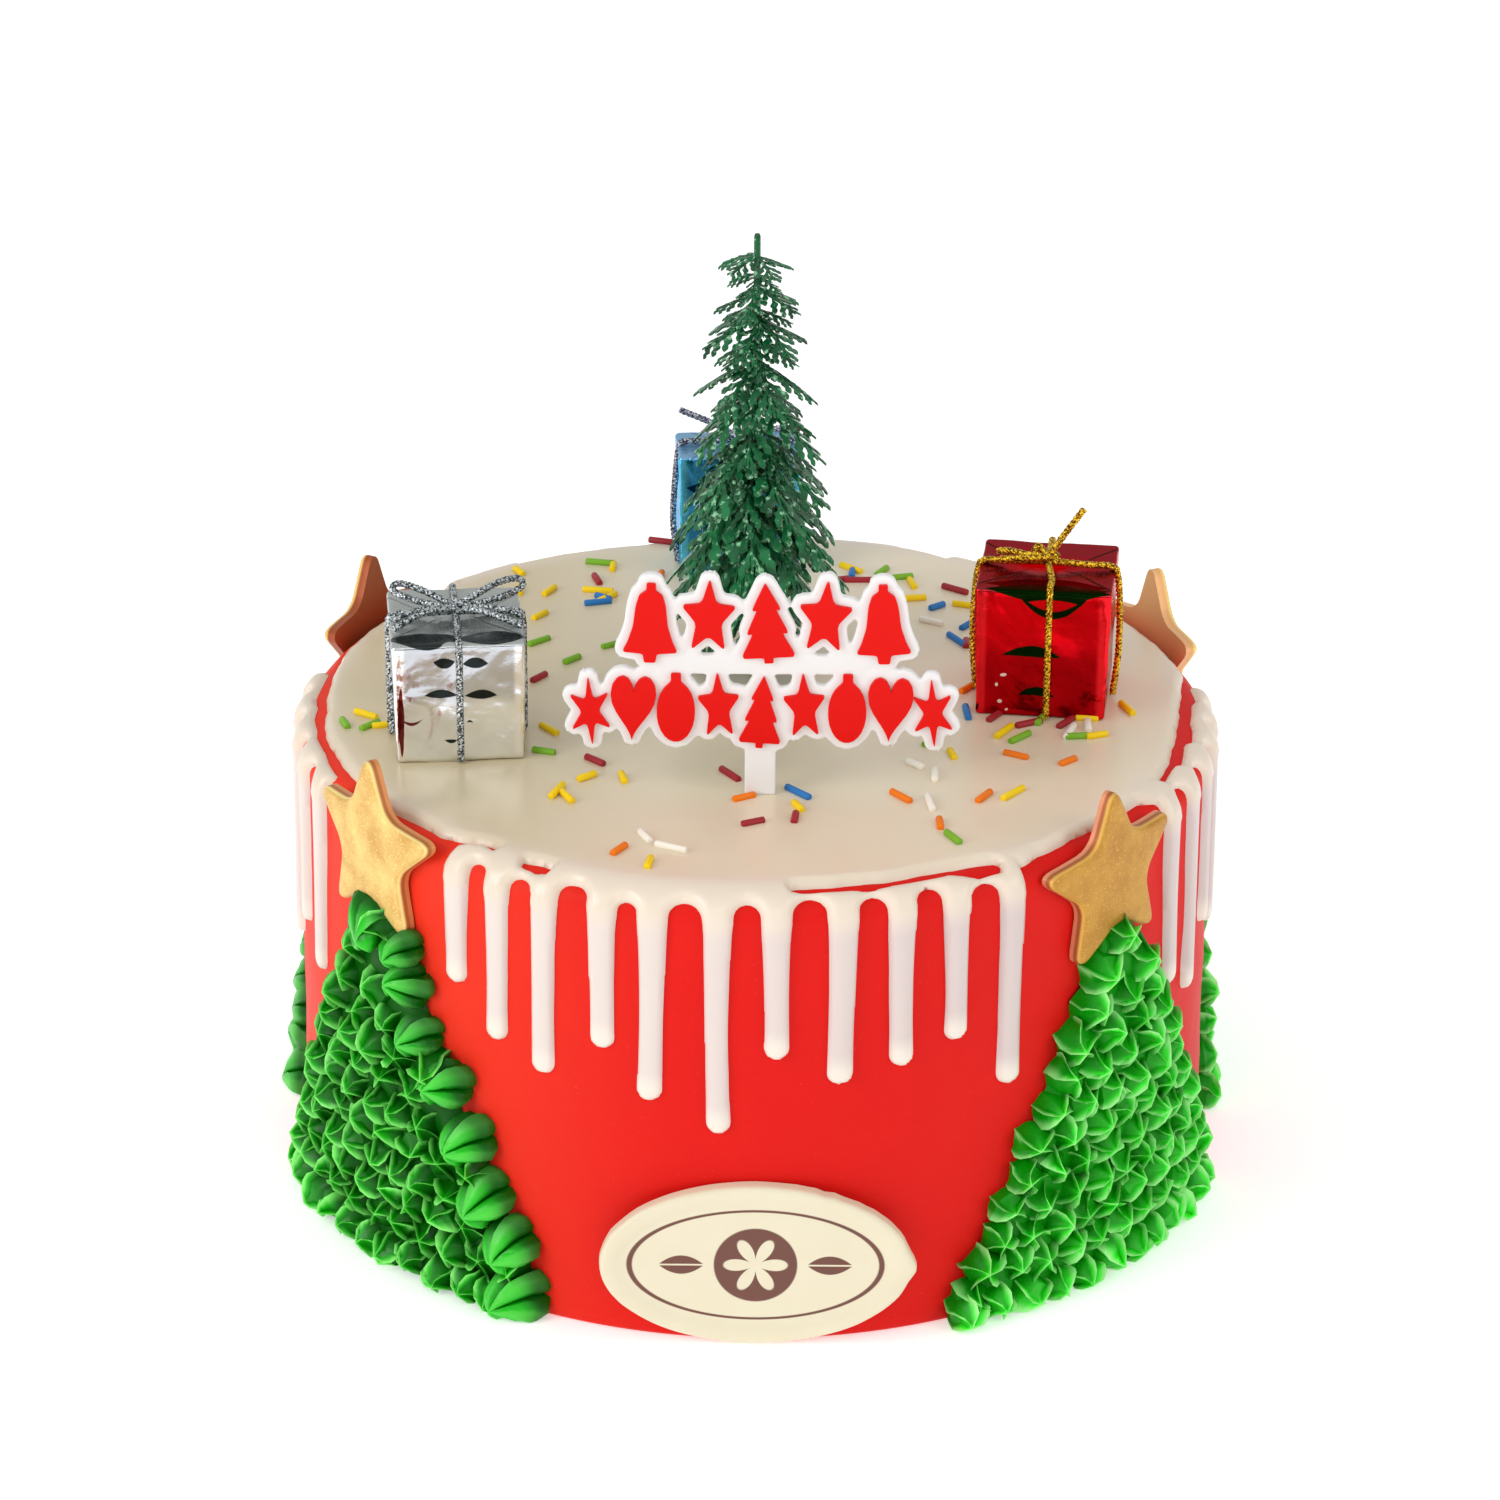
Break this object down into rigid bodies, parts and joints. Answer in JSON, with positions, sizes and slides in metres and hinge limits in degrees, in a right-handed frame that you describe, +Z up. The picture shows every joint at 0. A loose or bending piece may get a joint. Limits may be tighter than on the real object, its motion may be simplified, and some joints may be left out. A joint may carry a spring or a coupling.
{
  "type": "christmas cake",
  "caption": "Round iced celebration cake with a dripping glaze, piped buttercream trees, fondant stars, a plaque and plastic toppers.",
  "frame": {"origin": "centre of the cake's flat underside", "axes": "+Z up out of the cake's top, -Y towards the front with the plaque, +X to the right seen from the front"},
  "size_m": [0.2302, 0.2173, 0.2149],
  "materials": {
    "icing": "smooth satin icing",
    "glaze": "glossy poured glaze",
    "chocolate": "white chocolate, satin",
    "buttercream": "piped buttercream, soft sheen",
    "fondant_gold": "gold dusted fondant",
    "sign_plastic": "moulded, satin, red and white",
    "fir_plastic": "moulded, glossy",
    "foil_silver": "foil, slightly creased",
    "foil_red": "foil, slightly creased",
    "foil_blue": "foil, slightly creased",
    "tinsel_silver": "braided metallic cord",
    "tinsel_gold": "braided metallic cord"
  },
  "bodies": {
    "root": {"cake": "icing", "glaze": "glaze", "plaque": "chocolate", "piped_tree_1": "buttercream", "piped_tree_2": "buttercream", "piped_tree_3": "buttercream", "piped_tree_4": "buttercream", "star_1": "fondant_gold", "star_2": "fondant_gold", "star_3": "fondant_gold", "star_4": "fondant_gold", "topper_sign": "sign_plastic", "fir_tree": "fir_plastic", "gift_silver": "foil_silver", "gift_red": "foil_red", "gift_blue": "foil_blue", "cord_silver": "tinsel_silver", "cord_gold": "tinsel_gold", "cord_blue_gift": "tinsel_silver"}
  },
  "joints": []
}
